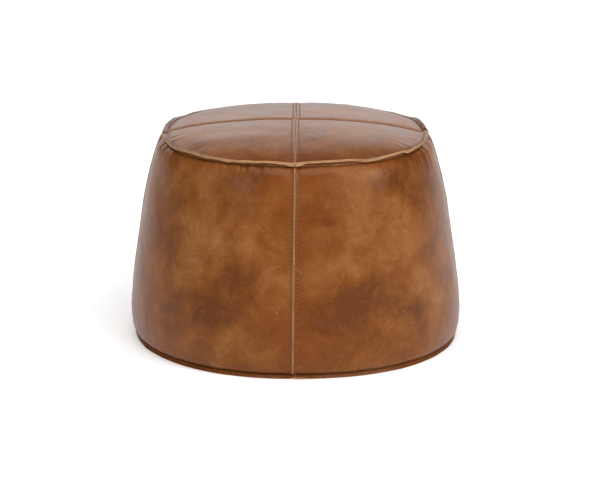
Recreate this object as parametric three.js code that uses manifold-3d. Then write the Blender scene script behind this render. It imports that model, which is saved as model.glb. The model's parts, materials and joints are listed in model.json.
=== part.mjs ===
// A leather pouf: a tapered drum cover sewn from four top panels, four side panels and two base panels,
// with a zip across the base and a foam and fibre filling. Millimetres, +Z up, origin on the floor under
// the middle, and the front seam faces -Y.

import * as THREE from 'three';
import { mergeVertices } from 'three/addons/utils/BufferGeometryUtils.js';
import Module from 'manifold-3d';

const wasm = await Module();
wasm.setup();

// ---- driving dimensions ----

const LEATHER = 2;
const GAP = 0.3; // between pieces that touch
const QUARTER_STEPS = 10; // facets round a quarter of the plan
const SKIN_GAP = GAP / 2; // from a seam's middle to the leather on either side
const SAME_POINT = 1e-3; // points closer than this are one

// The plan is a circle pulled in a little at the four vertical seams, most at the rim.
const RIM_SQUARENESS = 0.02;
const BASE_SQUARENESS = 0.013;

// The rim lip: the top and side panels' seam allowances, which stand outwards and up.
const RIM_SEAM = new THREE.Vector2(206.6, 328.3); // radius at a vertical seam, height
const RIM_LIP_WIDTH = 7.5;
const RIM_LIP_SLOPE = THREE.MathUtils.degToRad(38);

// The base lip: the side and base panels' seam allowances, which the pouf stands on.
const BASE_LIP_FOOT_RADIUS = 259.4; // at the floor, midway between the two layers
const BASE_LIP_LEAN = 0.46; // how fast the lip comes in as it rises
const BASE_CREASE_HEIGHT = 6.5;
const BASE_PANEL_HEIGHT = 6.8;

// The side panels' outer face at a vertical seam, from the rim down to the base.
const SHOULDER = [[215.5, 321.6], [221.5, 312], [230, 284]];
const TAPER = [[243, 227], [255.5, 148]];
const BELLY = [[264.6, 74], [266.5, 40], [264, 13.5]];
const ROWS_PER_SPAN = 2;

// The top panels' dome.
const CROWN_HEIGHT = 352.3;
const DOME_FULLNESS = 0.8;
const DOME_ROWS = 7;

// The strip behind each butted seam.
const STRIP_WIDTH = 20;
const STRIP_THICKNESS = 1.2;
const DOME_STRIP_GAP = 0.8;
const STRIP_END_GAP = 14; // from the rim seam to the end of a strip

// The filling.
const WADDING = 12;
const FILLING_FLOOR = 12.3;

// The zip, which runs along X with its closed end at +X.
const ZIP_HALF_LENGTH = 190;
const ZIP_WINDOW = { halfLength: 195, halfWidth: 7 };
const TAPE = { halfLength: 203, inner: 1.2, outer: 16, thickness: 0.8 };
const TEETH = { outer: 3, bottom: 6.6, height: 2.2 };
const SLIDER = { length: 13, frontWidth: 10, backWidth: 8.4, plate: 1.2, wallInner: 3.3, wall: 1 };
const SLIDER_AT = 180;
const BAIL = { length: 7.2, width: 2, legs: 1, opening: 2 };
const TAB = { length: 26, width: 7, thickness: 1.2, windowEnd: 4.8, windowHalfWidth: 1.5, barHalf: 0.6 };
const TAB_END_FACETS = 10;
const TAB_HANG = THREE.MathUtils.degToRad(6.5); // its tip hangs just clear of the floor
const STOP_LENGTH = 3;
const TOP_STOP_REACH = 4;
const BOTTOM_STOP = { reach: 3.2, plate: 1 };

const TAPE_BOTTOM = BASE_PANEL_HEIGHT + LEATHER + GAP;
const TAPE_TOP = TAPE_BOTTOM + TAPE.thickness;
const PLATE_TOP = TEETH.bottom - GAP;
const PLATE_BOTTOM = PLATE_TOP - SLIDER.plate;
const TAB_PIVOT_HEIGHT = PLATE_BOTTOM - BAIL.opening / 2;
const POST_BACK = SLIDER_AT + 2;
const POST_LENGTH = 2.5;

// ---- materials ----

function material(colour, roughness, metalness) {
  return new THREE.MeshStandardMaterial({ color: colour, roughness, metalness });
}

const leatherMaterial = material(0x86502c, 0.4, 0);
const strippedLeatherMaterial = material(0xb98a5c, 0.75, 0);
const tapeMaterial = material(0x4a3424, 0.9, 0);
const teethMaterial = material(0x54402f, 0.4, 0);
const brassMaterial = material(0x8a6f42, 0.35, 0.9);
const foamMaterial = material(0xd8cfae, 0.95, 0);
const fibreMaterial = material(0xeeeeea, 1, 0);

// ---- the plan and the outlines ----

function planScale(angle, height) {
  const share = THREE.MathUtils.clamp(height / RIM_SEAM.y, 0, 1);
  const squareness = THREE.MathUtils.lerp(BASE_SQUARENESS, RIM_SQUARENESS, share);
  return (1 - squareness * Math.cos(4 * angle)) / (1 - squareness);
}

function onPlan(point, angle) {
  const radius = point.x * planScale(angle, point.y);
  return new THREE.Vector3(radius * Math.cos(angle), radius * Math.sin(angle), point.y);
}

function baseLipRadius(height) {
  return BASE_LIP_FOOT_RADIUS - BASE_LIP_LEAN * height;
}

const lipAlong = new THREE.Vector2(Math.cos(RIM_LIP_SLOPE), Math.sin(RIM_LIP_SLOPE));
const lipUp = new THREE.Vector2(-lipAlong.y, lipAlong.x);
const lipTip = RIM_SEAM.clone().addScaledVector(lipAlong, RIM_LIP_WIDTH);
const baseLipSlant = Math.hypot(1, BASE_LIP_LEAN); // widens the lip's layers where they are cut level

function baseLipPoint(height, offset) {
  return new THREE.Vector2(baseLipRadius(height) + offset * baseLipSlant, height);
}

const sideCurve = new THREE.SplineCurve([
  RIM_SEAM.clone().addScaledVector(lipUp, -(SKIN_GAP + LEATHER)),
  ...[...SHOULDER, ...TAPER, ...BELLY].map(([radius, height]) => new THREE.Vector2(radius, height)),
  baseLipPoint(BASE_CREASE_HEIGHT, SKIN_GAP + LEATHER),
]);
const SIDE_ROWS = ROWS_PER_SPAN * (sideCurve.points.length - 1);

// Rows of the side that the strips and the filling reach.
const CROWN_TOP_ROW = 2;
const STRIP_TOP_ROW = 3;
const CORE_TOP_ROW = 6; // where the foam crown rests on the core
const LOWEST_ROW = SIDE_ROWS - 2;

// A point on the side panels' outer face, moved inwards by depth.
function sidePoint(row, depth) {
  const along = row / SIDE_ROWS;
  const tangent = sideCurve.getTangent(along);
  const outwards = new THREE.Vector2(-tangent.y, tangent.x);
  return sideCurve.getPoint(along).addScaledVector(outwards, -depth);
}

function sideOutline(firstRow, lastRow, depth) {
  const outline = [];
  for (let row = firstRow; row <= lastRow; row += 1) {
    outline.push(sidePoint(row, depth));
  }
  return outline;
}

const domeEdge = RIM_SEAM.clone().addScaledVector(lipUp, SKIN_GAP + LEATHER);

function domeHeight(radius) {
  const share = Math.max(0, 1 - (radius / domeEdge.x) ** 2);
  return domeEdge.y + (CROWN_HEIGHT - domeEdge.y) * share ** DOME_FULLNESS;
}

// A point on the dome's upper face, moved down by depth. Row 0 is on the axis.
function domePoint(row, depth) {
  const radius = domeEdge.x * Math.sin((row / DOME_ROWS) * (Math.PI / 2));
  const slope = (domeHeight(radius + 1) - domeHeight(Math.abs(radius - 1))) / 2;
  const tilt = row === 0 ? 0 : Math.atan(slope);
  return new THREE.Vector2(radius + depth * Math.sin(tilt), domeHeight(radius) - depth * Math.cos(tilt));
}

// ---- making solids ----

function signedVolume(positions, indices) {
  let volume = 0;
  for (let i = 0; i < indices.length; i += 3) {
    const [a, b, c] = [0, 1, 2].map((k) => positions[indices[i + k]]);
    volume += a.dot(new THREE.Vector3().crossVectors(b, c)) / 6;
  }
  return volume;
}

function geometryFrom(positions, indices) {
  const outwards = signedVolume(positions, indices) > 0;
  const geometry = new THREE.BufferGeometry().setFromPoints(positions);
  geometry.setIndex(outwards ? indices : [...indices].reverse());
  geometry.computeVertexNormals();
  return geometry;
}

// A thin solid between two grids of points, with equal rows and columns, closed along all four edges.
function slab(outerGrid, innerGrid) {
  const rows = outerGrid.length;
  const columns = outerGrid[0].length;
  const positions = [];
  const known = new Map();
  const indexOf = (point) => {
    const key = point.toArray().map((value) => Math.round(value / SAME_POINT)).join();
    if (!known.has(key)) {
      known.set(key, positions.length);
      positions.push(point);
    }
    return known.get(key);
  };
  const indices = [];
  const triangle = (a, b, c) => {
    if (a !== b && b !== c && c !== a) {
      indices.push(a, b, c);
    }
  };
  const quad = (...corners) => {
    const [a, b, c, d] = corners.map(indexOf);
    triangle(a, b, c);
    triangle(a, c, d);
  };
  for (let i = 0; i < rows - 1; i += 1) {
    for (let j = 0; j < columns - 1; j += 1) {
      quad(outerGrid[i][j], outerGrid[i + 1][j], outerGrid[i + 1][j + 1], outerGrid[i][j + 1]);
      quad(innerGrid[i][j], innerGrid[i][j + 1], innerGrid[i + 1][j + 1], innerGrid[i + 1][j]);
    }
    quad(outerGrid[i][0], innerGrid[i][0], innerGrid[i + 1][0], outerGrid[i + 1][0]);
    const last = columns - 1;
    quad(outerGrid[i][last], outerGrid[i + 1][last], innerGrid[i + 1][last], innerGrid[i][last]);
  }
  for (let j = 0; j < columns - 1; j += 1) {
    const last = rows - 1;
    quad(outerGrid[0][j], outerGrid[0][j + 1], innerGrid[0][j + 1], innerGrid[0][j]);
    quad(outerGrid[last][j], innerGrid[last][j], innerGrid[last][j + 1], outerGrid[last][j + 1]);
  }
  return geometryFrom(positions, indices);
}

// The outline carried round part of the plan, keeping half a gap from the lines x = 0 and y = 0 that
// bound it.
function sweptGrid(outline, quarters, keepOffX) {
  const columns = quarters * QUARTER_STEPS;
  return outline.map((point) => {
    const ring = [];
    for (let j = 0; j <= columns; j += 1) {
      const place = onPlan(point, (j / QUARTER_STEPS) * (Math.PI / 2));
      place.y = Math.max(place.y, SKIN_GAP);
      if (keepOffX) {
        place.x = Math.max(place.x, SKIN_GAP);
      }
      ring.push(place);
    }
    return ring;
  });
}

function quarterPanel(outer, inner) {
  return slab(sweptGrid(outer, 1, true), sweptGrid(inner, 1, true));
}

// An outline turned all the way round and pressed to the plan. It runs down the outside, and closes on
// itself or starts and ends on the axis.
function turned(outline) {
  const lathe = new THREE.LatheGeometry([...outline].reverse(), 4 * QUARTER_STEPS);
  lathe.deleteAttribute('normal');
  lathe.deleteAttribute('uv');
  lathe.rotateX(Math.PI / 2);
  const positions = lathe.getAttribute('position');
  for (let i = 0; i < positions.count; i += 1) {
    const [x, y, z] = [positions.getX(i), positions.getY(i), positions.getZ(i)];
    const scale = planScale(Math.atan2(y, x), z);
    positions.setXY(i, x * scale, y * scale);
  }
  return mergeVertices(lathe, SAME_POINT);
}

function toSolid(geometry) {
  const bare = geometry.clone();
  bare.deleteAttribute('normal');
  bare.deleteAttribute('uv');
  const merged = mergeVertices(bare, SAME_POINT);
  const vertProperties = Float32Array.from(merged.getAttribute('position').array);
  const triVerts = Uint32Array.from(merged.index.array);
  return new wasm.Manifold(new wasm.Mesh({ numProp: 3, vertProperties, triVerts }));
}

function fromSolid(solid) {
  const { vertProperties, triVerts } = solid.getMesh();
  const geometry = new THREE.BufferGeometry();
  geometry.setAttribute('position', new THREE.BufferAttribute(Float32Array.from(vertProperties), 3));
  geometry.setIndex([...triVerts]);
  geometry.computeVertexNormals();
  return geometry;
}

function box(low, high) {
  const size = high.map((value, axis) => value - low[axis]);
  const middle = high.map((value, axis) => (value + low[axis]) / 2);
  return new THREE.BoxGeometry(...size).translate(...middle);
}

// A section drawn in Y and Z, extruded along X from start.
function alongX(section, start, length) {
  const shape = new THREE.Shape(section.map(([y, z]) => new THREE.Vector2(y, z)));
  const bar = new THREE.ExtrudeGeometry(shape, { depth: length, bevelEnabled: false });
  return bar.rotateX(Math.PI / 2).rotateZ(Math.PI / 2).translate(start, 0, 0);
}

const pouf = new THREE.Group();

function addPart(name, geometry, look) {
  const mesh = new THREE.Mesh(geometry, look);
  mesh.name = name;
  pouf.add(mesh);
  return mesh;
}

function addTurned(name, geometry, look, quarterTurns) {
  addPart(name, geometry, look).rotation.z = (quarterTurns * Math.PI) / 2;
}

// ---- the cover ----

// Quarters in turn from +X towards +Y.
const QUARTERS = ['rear_right', 'rear_left', 'front_left', 'front_right'];

function topPanel() {
  const upper = [];
  const lower = [];
  for (let row = 0; row < DOME_ROWS; row += 1) {
    upper.push(domePoint(row, 0));
    lower.push(domePoint(row, LEATHER));
  }
  upper.push(domeEdge, lipTip.clone().addScaledVector(lipUp, SKIN_GAP + LEATHER));
  lower.push(
    RIM_SEAM.clone().addScaledVector(lipUp, SKIN_GAP),
    lipTip.clone().addScaledVector(lipUp, SKIN_GAP),
  );
  return quarterPanel(upper, lower);
}

function sidePanel() {
  const outer = [
    lipTip.clone().addScaledVector(lipUp, -(SKIN_GAP + LEATHER)),
    ...sideOutline(0, SIDE_ROWS, 0),
    baseLipPoint(0, SKIN_GAP + LEATHER),
  ];
  const inner = [
    lipTip.clone().addScaledVector(lipUp, -SKIN_GAP),
    RIM_SEAM.clone().addScaledVector(lipUp, -SKIN_GAP),
    ...sideOutline(1, SIDE_ROWS - 1, LEATHER),
    baseLipPoint(BASE_PANEL_HEIGHT + LEATHER, SKIN_GAP),
    baseLipPoint(0, SKIN_GAP),
  ];
  return quarterPanel(outer, inner);
}

// Half of the base, for y above 0, with its share of the zip's window cut out.
function basePanel() {
  const top = BASE_PANEL_HEIGHT + LEATHER;
  const lower = [
    new THREE.Vector2(0, BASE_PANEL_HEIGHT),
    baseLipPoint(BASE_PANEL_HEIGHT, -(SKIN_GAP + LEATHER)),
    baseLipPoint(0, -(SKIN_GAP + LEATHER)),
  ];
  const upper = [new THREE.Vector2(0, top), baseLipPoint(top, -SKIN_GAP), baseLipPoint(0, -SKIN_GAP)];
  const half = slab(sweptGrid(lower, 2, false), sweptGrid(upper, 2, false));
  const { halfLength, halfWidth } = ZIP_WINDOW;
  const window = box([-halfLength, -halfWidth, 0], [halfLength, halfWidth, 2 * top]);
  return fromSolid(toSolid(half).subtract(toSolid(window)));
}

QUARTERS.forEach((quarter, turn) => {
  addTurned(`top_panel_${quarter}`, topPanel(), leatherMaterial, turn);
  addTurned(`side_panel_${quarter}`, sidePanel(), leatherMaterial, turn);
});
addPart('base_panel_rear', basePanel(), leatherMaterial);
addTurned('base_panel_front', basePanel(), leatherMaterial, 2);

// ---- the strips behind the seams ----

// A strip behind the vertical seam at +X. Its halves lie flat against the panels' first facets.
function sideStrip() {
  const facet = Math.PI / 2 / QUARTER_STEPS;
  const halfWidth = STRIP_WIDTH / 2;
  const layer = (depth) =>
    sideOutline(STRIP_TOP_ROW, LOWEST_ROW, depth).map((point) => {
      const next = onPlan(point, facet);
      const drop = ((point.x - next.x) / next.y) * halfWidth;
      return [-halfWidth, 0, halfWidth].map(
        (y) => new THREE.Vector3(point.x - (y === 0 ? 0 : drop), y, point.y),
      );
    });
  const outerDepth = LEATHER + GAP;
  return slab(layer(outerDepth), layer(outerDepth + STRIP_THICKNESS));
}

// A strip under the dome, along X from one distance to another.
function domeStrip(from, to) {
  const halfWidth = STRIP_WIDTH / 2;
  const reach = (row) => THREE.MathUtils.clamp(domePoint(Math.abs(row), 0).x * Math.sign(row), from, to);
  const layer = (depth) => {
    const grid = [];
    for (let row = -DOME_ROWS; row <= DOME_ROWS; row += 1) {
      const x = reach(row);
      const last = grid[grid.length - 1];
      if (!last || x > last[0].x) {
        const height = domeHeight(Math.abs(x)) - depth;
        grid.push([-halfWidth, halfWidth].map((y) => new THREE.Vector3(x, y, height)));
      }
    }
    return grid;
  };
  const upperDepth = LEATHER + DOME_STRIP_GAP;
  return slab(layer(upperDepth), layer(upperDepth + STRIP_THICKNESS));
}

['right', 'rear', 'left', 'front'].forEach((side, turn) => {
  addTurned(`side_seam_strip_${side}`, sideStrip(), strippedLeatherMaterial, turn);
});
const stripReach = RIM_SEAM.x - STRIP_END_GAP;
const crossing = STRIP_WIDTH / 2 + GAP;
addPart('top_seam_strip_across', domeStrip(-stripReach, stripReach), strippedLeatherMaterial);
addTurned('top_seam_strip_rear', domeStrip(crossing, stripReach), strippedLeatherMaterial, 1);
addTurned('top_seam_strip_front', domeStrip(crossing, stripReach), strippedLeatherMaterial, -1);

// ---- the filling ----

const FILLING_DEPTH = LEATHER + GAP + STRIP_THICKNESS + GAP;

function fibreSleeve() {
  const outer = sideOutline(CORE_TOP_ROW, LOWEST_ROW, FILLING_DEPTH);
  const inner = sideOutline(CORE_TOP_ROW, LOWEST_ROW, FILLING_DEPTH + WADDING).reverse();
  return turned([...outer, ...inner, outer[0]]);
}

function foamCore() {
  const side = sideOutline(CORE_TOP_ROW, LOWEST_ROW, FILLING_DEPTH + WADDING + GAP);
  const top = side[0].y;
  const foot = side[side.length - 1].x;
  return turned([
    new THREE.Vector2(0, top),
    ...side,
    new THREE.Vector2(foot, FILLING_FLOOR),
    new THREE.Vector2(0, FILLING_FLOOR),
  ]);
}

function foamCrown() {
  const depth = LEATHER + DOME_STRIP_GAP + STRIP_THICKNESS + GAP;
  const dome = [];
  for (let row = 0; row < DOME_ROWS; row += 1) {
    dome.push(domePoint(row, depth));
  }
  const side = sideOutline(CROWN_TOP_ROW, CORE_TOP_ROW - 1, FILLING_DEPTH);
  const underside = sidePoint(CORE_TOP_ROW, FILLING_DEPTH).y + GAP;
  const edge = sidePoint(CORE_TOP_ROW, FILLING_DEPTH).x - GAP;
  return turned([...dome, ...side, new THREE.Vector2(edge, underside), new THREE.Vector2(0, underside)]);
}

addPart('fibre_sleeve', fibreSleeve(), fibreMaterial);
addPart('foam_core', foamCore(), foamMaterial);
addPart('foam_crown', foamCrown(), foamMaterial);

// ---- the zip ----

function zipTape() {
  return box([-TAPE.halfLength, TAPE.inner, TAPE_BOTTOM], [TAPE.halfLength, TAPE.outer, TAPE_TOP]);
}

function zipTeeth() {
  const open = STOP_LENGTH + GAP - ZIP_HALF_LENGTH;
  const top = TEETH.bottom + TEETH.height;
  return box([open, SKIN_GAP, TEETH.bottom], [POST_BACK - GAP, TEETH.outer, top]);
}

function zipTeethFront() {
  return zipTeeth().translate(0, -(SKIN_GAP + TEETH.outer), 0);
}

// A clip folded round the inner edge of one tape. Side is 1 for the rear tape and -1 for the front one.
function topStop(side) {
  const inner = SKIN_GAP;
  const outer = TOP_STOP_REACH;
  const wall = TAPE.inner - GAP;
  const [low, high] = [TAPE_BOTTOM - GAP, TAPE_TOP + GAP];
  const section = [
    [inner, low - wall], [outer, low - wall], [outer, low], [wall, low],
    [wall, high], [outer, high], [outer, high + wall], [inner, high + wall],
  ];
  return alongX(section.map(([y, z]) => [side * y, z]), ZIP_HALF_LENGTH - STOP_LENGTH, STOP_LENGTH);
}

// A clip with an I section, which holds both tapes together at the open end.
function bottomStop() {
  const { reach, plate } = BOTTOM_STOP;
  const web = TAPE.inner - GAP;
  const [low, high] = [TAPE_BOTTOM - GAP, TAPE_TOP + GAP];
  const right = [
    [reach, low - plate], [reach, low], [web, low],
    [web, high], [reach, high], [reach, high + plate],
  ];
  const left = right.map(([y, z]) => [-y, z]).reverse();
  return alongX([...right, ...left], -ZIP_HALF_LENGTH, STOP_LENGTH);
}

// A plate that is wider at the slider's front, where the two rows of teeth meet.
function sliderPlate(bottom, top) {
  const back = SLIDER_AT - SLIDER.length / 2;
  const front = SLIDER_AT + SLIDER.length / 2;
  const shape = new THREE.Shape([
    new THREE.Vector2(back, -SLIDER.backWidth / 2),
    new THREE.Vector2(front, -SLIDER.frontWidth / 2),
    new THREE.Vector2(front, SLIDER.frontWidth / 2),
    new THREE.Vector2(back, SLIDER.backWidth / 2),
  ]);
  const plate = new THREE.ExtrudeGeometry(shape, { depth: top - bottom, bevelEnabled: false });
  return plate.translate(0, 0, bottom);
}

function zipSlider() {
  const back = SLIDER_AT - SLIDER.length / 2;
  const front = SLIDER_AT + SLIDER.length / 2;
  const upperBottom = TAPE_TOP + GAP;
  const postHalf = TAPE.inner - GAP;
  const channelTop = TEETH.bottom + TEETH.height;
  const { wallInner } = SLIDER;
  const bailBottom = PLATE_BOTTOM - BAIL.opening - BAIL.legs;
  const bailBack = SLIDER_AT - BAIL.length / 2;
  const bailFront = SLIDER_AT + BAIL.length / 2;
  const pieces = [
    sliderPlate(upperBottom, upperBottom + SLIDER.plate),
    sliderPlate(PLATE_BOTTOM, PLATE_TOP),
    box([POST_BACK, -postHalf, PLATE_TOP - GAP], [POST_BACK + POST_LENGTH, postHalf, upperBottom + GAP]),
    box([back, wallInner, PLATE_TOP - GAP], [front, wallInner + SLIDER.wall, channelTop]),
    box([back, -wallInner - SLIDER.wall, PLATE_TOP - GAP], [front, -wallInner, channelTop]),
    box([bailBack, -BAIL.width / 2, bailBottom], [bailFront, BAIL.width / 2, PLATE_TOP - GAP]),
  ];
  const whole = pieces.map(toSolid).reduce((sum, piece) => sum.add(piece));
  const opening = box(
    [bailBack + BAIL.legs, -BAIL.width, PLATE_BOTTOM - BAIL.opening],
    [bailFront - BAIL.legs, BAIL.width, PLATE_BOTTOM],
  );
  return fromSolid(whole.subtract(toSolid(opening)));
}

// A flat tab with a round end. Its bar runs through the slider's bail, and its window lets the bail turn.
function pullTab() {
  const half = TAB.width / 2;
  const straight = TAB.length - half;
  const outline = new THREE.Shape();
  outline.moveTo(-TAB.barHalf, -half);
  outline.lineTo(straight, -half);
  outline.absarc(straight, 0, half, -Math.PI / 2, Math.PI / 2, false);
  outline.lineTo(-TAB.barHalf, half);
  const window = new THREE.Path([
    new THREE.Vector2(TAB.barHalf, -TAB.windowHalfWidth),
    new THREE.Vector2(TAB.barHalf, TAB.windowHalfWidth),
    new THREE.Vector2(TAB.windowEnd, TAB.windowHalfWidth),
    new THREE.Vector2(TAB.windowEnd, -TAB.windowHalfWidth),
  ]);
  outline.holes.push(window);
  const extrusion = { depth: TAB.thickness, bevelEnabled: false, curveSegments: TAB_END_FACETS };
  const tab = new THREE.ExtrudeGeometry(outline, extrusion);
  return tab.translate(0, 0, -TAB.thickness / 2);
}

[['rear', 0], ['front', Math.PI]].forEach(([side, turn]) => {
  addPart(`zip_tape_${side}`, zipTape(), tapeMaterial).rotation.z = turn;
});
addPart('zip_teeth_rear', zipTeeth(), teethMaterial);
addPart('zip_teeth_front', zipTeethFront(), teethMaterial);
addPart('zip_top_stop_rear', topStop(1), brassMaterial);
addPart('zip_top_stop_front', topStop(-1), brassMaterial);
addPart('zip_bottom_stop', bottomStop(), brassMaterial);
addPart('zip_slider', zipSlider(), brassMaterial);
const tab = addPart('zip_pull_tab', pullTab(), brassMaterial);
tab.position.set(SLIDER_AT, 0, TAB_PIVOT_HEIGHT);
tab.rotation.y = Math.PI - TAB_HANG;

export default pouf;
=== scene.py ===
"""A leather pouf with raw-edged seams: its cover, stitching, zip and filling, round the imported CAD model.

Shapes are worked out in millimetres, as the CAD model is, and become metres when a mesh is made.
"""

import json
import math

import bmesh
import bpy
import numpy as np
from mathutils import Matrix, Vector


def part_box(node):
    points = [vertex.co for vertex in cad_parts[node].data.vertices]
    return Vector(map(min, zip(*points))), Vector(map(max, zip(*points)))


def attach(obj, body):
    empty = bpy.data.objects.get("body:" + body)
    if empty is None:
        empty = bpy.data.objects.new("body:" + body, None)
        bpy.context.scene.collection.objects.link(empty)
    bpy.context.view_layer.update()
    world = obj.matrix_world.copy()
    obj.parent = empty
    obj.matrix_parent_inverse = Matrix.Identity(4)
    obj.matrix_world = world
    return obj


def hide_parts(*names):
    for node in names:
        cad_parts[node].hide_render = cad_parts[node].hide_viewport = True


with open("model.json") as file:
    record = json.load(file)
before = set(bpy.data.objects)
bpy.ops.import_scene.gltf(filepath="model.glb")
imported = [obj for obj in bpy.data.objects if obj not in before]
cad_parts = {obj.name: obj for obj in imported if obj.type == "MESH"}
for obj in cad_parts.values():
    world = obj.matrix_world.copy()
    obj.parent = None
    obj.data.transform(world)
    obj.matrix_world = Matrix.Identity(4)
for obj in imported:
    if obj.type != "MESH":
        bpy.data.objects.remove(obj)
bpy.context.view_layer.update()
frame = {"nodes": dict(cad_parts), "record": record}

MM = 0.001
NODES = frame["nodes"]

# ---- sizes, in millimetres, as in the CAD model ----

LEATHER = 2.0
GAP = 0.3
RIM_SQUARENESS = 0.02
BASE_SQUARENESS = 0.013
RIM_SEAM = np.array([206.6, 328.3])
RIM_LIP_WIDTH = 7.5
RIM_LIP_SLOPE = math.radians(38)
BASE_LIP_FOOT_RADIUS = 259.4
BASE_LIP_LEAN = 0.46
BASE_CREASE_HEIGHT = 6.5
BASE_PANEL_HEIGHT = 6.8
SEAM_FLARE_WIDTH = 20  # how far from a vertical seam the base lip turns its cut edge outwards
SEAM_FLARE_SHIFT = math.radians(1.2)
BASE_CREASE_DEPTH = 2.2  # how much further in the base's crease is than the lip's slant puts it
SKIVED = 0.15  # how much thinner the leather is at the rim lip's edge
ALLOWANCE = 2.3  # the room that a vertical seam's allowances take up in the rim lip
SHOULDER = [(215.5, 321.6), (221.5, 312), (230, 284)]
TAPER = [(243, 227), (255.5, 148)]
BELLY = [(264.6, 74), (266.5, 40), (264, 13.5)]
CROWN_HEIGHT = 352.3
DOME_FULLNESS = 0.8

# ---- sizes of what only shows in the leather ----

SEAM_ANGLES = np.radians([0, 90, 180, 270])  # right, rear, left, front
FRONT_SEAM_LEAN = -4.0  # how far the foot of the front seam lies from its head
REAR_SEAM_JOG = 1.8  # how far the top's rear seam lies from its front one
ROW_OFFSET = 5.5  # from a seam to the stitching on either side
STITCH_PITCH = 6.2
STITCH_LENGTH = 5.2
THREAD = 0.5


# ---- noise ----

NOISE_CELLS = 32
NOISE_RADIUS = 215  # of the ring that noise round the pouf is read on


def smooth_noise(points, size, seed):
    """Soft noise from -1 to 1 at points, whose bumps are about size across."""
    rng = np.random.default_rng(seed)
    lattice = rng.uniform(-1, 1, (NOISE_CELLS,) * 3)
    scaled = np.asarray(points, float) / size + rng.uniform(0, NOISE_CELLS, 3)
    cell = np.floor(scaled).astype(int)
    share = scaled - cell
    share = share * share * (3 - 2 * share)
    total = 0
    for corner in np.ndindex(2, 2, 2):
        corner = np.array(corner)
        weight = np.prod(np.where(corner == 1, share, 1 - share), axis=-1)
        index = (cell + corner) % NOISE_CELLS
        total = total + weight * lattice[index[..., 0], index[..., 1], index[..., 2]]
    return total


def point_at(radius, angle, height):
    """The point at a distance from the pouf's axis, an angle round it and a height."""
    x, y = radius * np.cos(angle), radius * np.sin(angle)
    return np.stack([x, y, height + 0 * x], axis=-1)


def round_noise(angle, size, seed):
    """Noise round the pouf: size is its bumps' length along the noise ring."""
    return smooth_noise(point_at(NOISE_RADIUS, angle, 0), size, seed)


def bell(value, width):
    """1 at zero, falling smoothly to almost nothing at twice width."""
    return np.exp(-((value / width) ** 2))


def step(value, low, high):
    """Rises smoothly from 0 at low to 1 at high."""
    share = np.clip((value - low) / (high - low), 0, 1)
    return share * share * (3 - 2 * share)


# ---- the cover's plain shape ----


def plan_scale(angle, height):
    share = np.clip(height / RIM_SEAM[1], 0, 1)
    squareness = BASE_SQUARENESS + (RIM_SQUARENESS - BASE_SQUARENESS) * share
    return (1 - squareness * np.cos(4 * angle)) / (1 - squareness)


def ring_point(radius, height, angle):
    """The point at a radius, a height and an angle on the slightly squared plan of the pouf."""
    return point_at(radius * plan_scale(angle, height), angle, height)


LIP_ALONG = np.array([math.cos(RIM_LIP_SLOPE), math.sin(RIM_LIP_SLOPE)])
LIP_UP = np.array([-LIP_ALONG[1], LIP_ALONG[0]])
HALF_LIP = GAP / 2 + LEATHER
BASE_LIP_SLANT = math.hypot(1, BASE_LIP_LEAN)


def base_lip_radius(height, offset):
    return BASE_LIP_FOOT_RADIUS - BASE_LIP_LEAN * height + offset * BASE_LIP_SLANT


def spline(points, samples):
    """A smooth curve through points, sampled evenly between each pair."""
    points = np.array(points, float)
    last = len(points) - 1
    place = np.linspace(0, last, samples)
    i = np.minimum(place.astype(int), last - 1)
    t = (place - i)[:, None]
    before, start, end, after = (points[np.clip(i + k, 0, last)] for k in (-1, 0, 1, 2))
    pull_start, pull_end = (end - before) / 2, (after - start) / 2
    return (
        (2 * start - 2 * end + pull_start + pull_end) * t**3
        + (3 * end - 3 * start - 2 * pull_start - pull_end) * t**2
        + pull_start * t
        + start
    )


SIDE_SAMPLES = 900
SIDE_HEAD = RIM_SEAM - HALF_LIP * LIP_UP
SIDE_FOOT = (base_lip_radius(BASE_CREASE_HEIGHT, HALF_LIP), BASE_CREASE_HEIGHT)
SIDE_CURVE = spline([SIDE_HEAD, *SHOULDER, *TAPER, *BELLY, SIDE_FOOT], SIDE_SAMPLES)
SIDE_REACH = np.concatenate([[0], np.cumsum(np.linalg.norm(np.diff(SIDE_CURVE, axis=0), axis=1))])
SIDE_LENGTH = SIDE_REACH[-1]
SIDE_STEPS = np.gradient(SIDE_CURVE, axis=0)
SIDE_SLOPE = SIDE_STEPS / np.linalg.norm(SIDE_STEPS, axis=1)[:, None]


def side_section(down):
    """Radius, height and outward direction of the side at a seam, down mm from the rim's crease."""
    radius, height, along_r, along_z = (
        np.interp(down, SIDE_REACH, values)
        for values in (SIDE_CURVE[:, 0], SIDE_CURVE[:, 1], SIDE_SLOPE[:, 0], SIDE_SLOPE[:, 1])
    )
    return radius, height, -along_z, along_r


DOME_EDGE = RIM_SEAM + HALF_LIP * LIP_UP


def dome_height(radius):
    share = np.clip(1 - (radius / DOME_EDGE[0]) ** 2, 0, None)
    return DOME_EDGE[1] + (CROWN_HEIGHT - DOME_EDGE[1]) * share**DOME_FULLNESS


def turn_from(angle, seam):
    """The angle past a seam, from -pi to pi."""
    return (angle - seam + math.pi) % (2 * math.pi) - math.pi


def nearest_seam(angle):
    """The distance in radians to the nearest vertical seam."""
    return np.min([np.abs(turn_from(angle, seam)) for seam in SEAM_ANGLES], axis=0)


# ---- how the rim and base seams wander ----


def rear_share(angle):
    """1 along the rear of the rim, where its lip lies down, and 0 along the rest."""
    return step(np.sin(angle), 0.3, 0.62)


def rim_wander(angle):
    """How far the rim seam lies outside and above its plain place."""
    outwards = 1.0 * round_noise(angle, 60, 11) + 0.5 * round_noise(angle, 22, 12)
    upwards = 0.9 * round_noise(angle, 75, 13) + 0.45 * round_noise(angle, 26, 14)
    return outwards, upwards - 2.5 * rear_share(angle)


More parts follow.
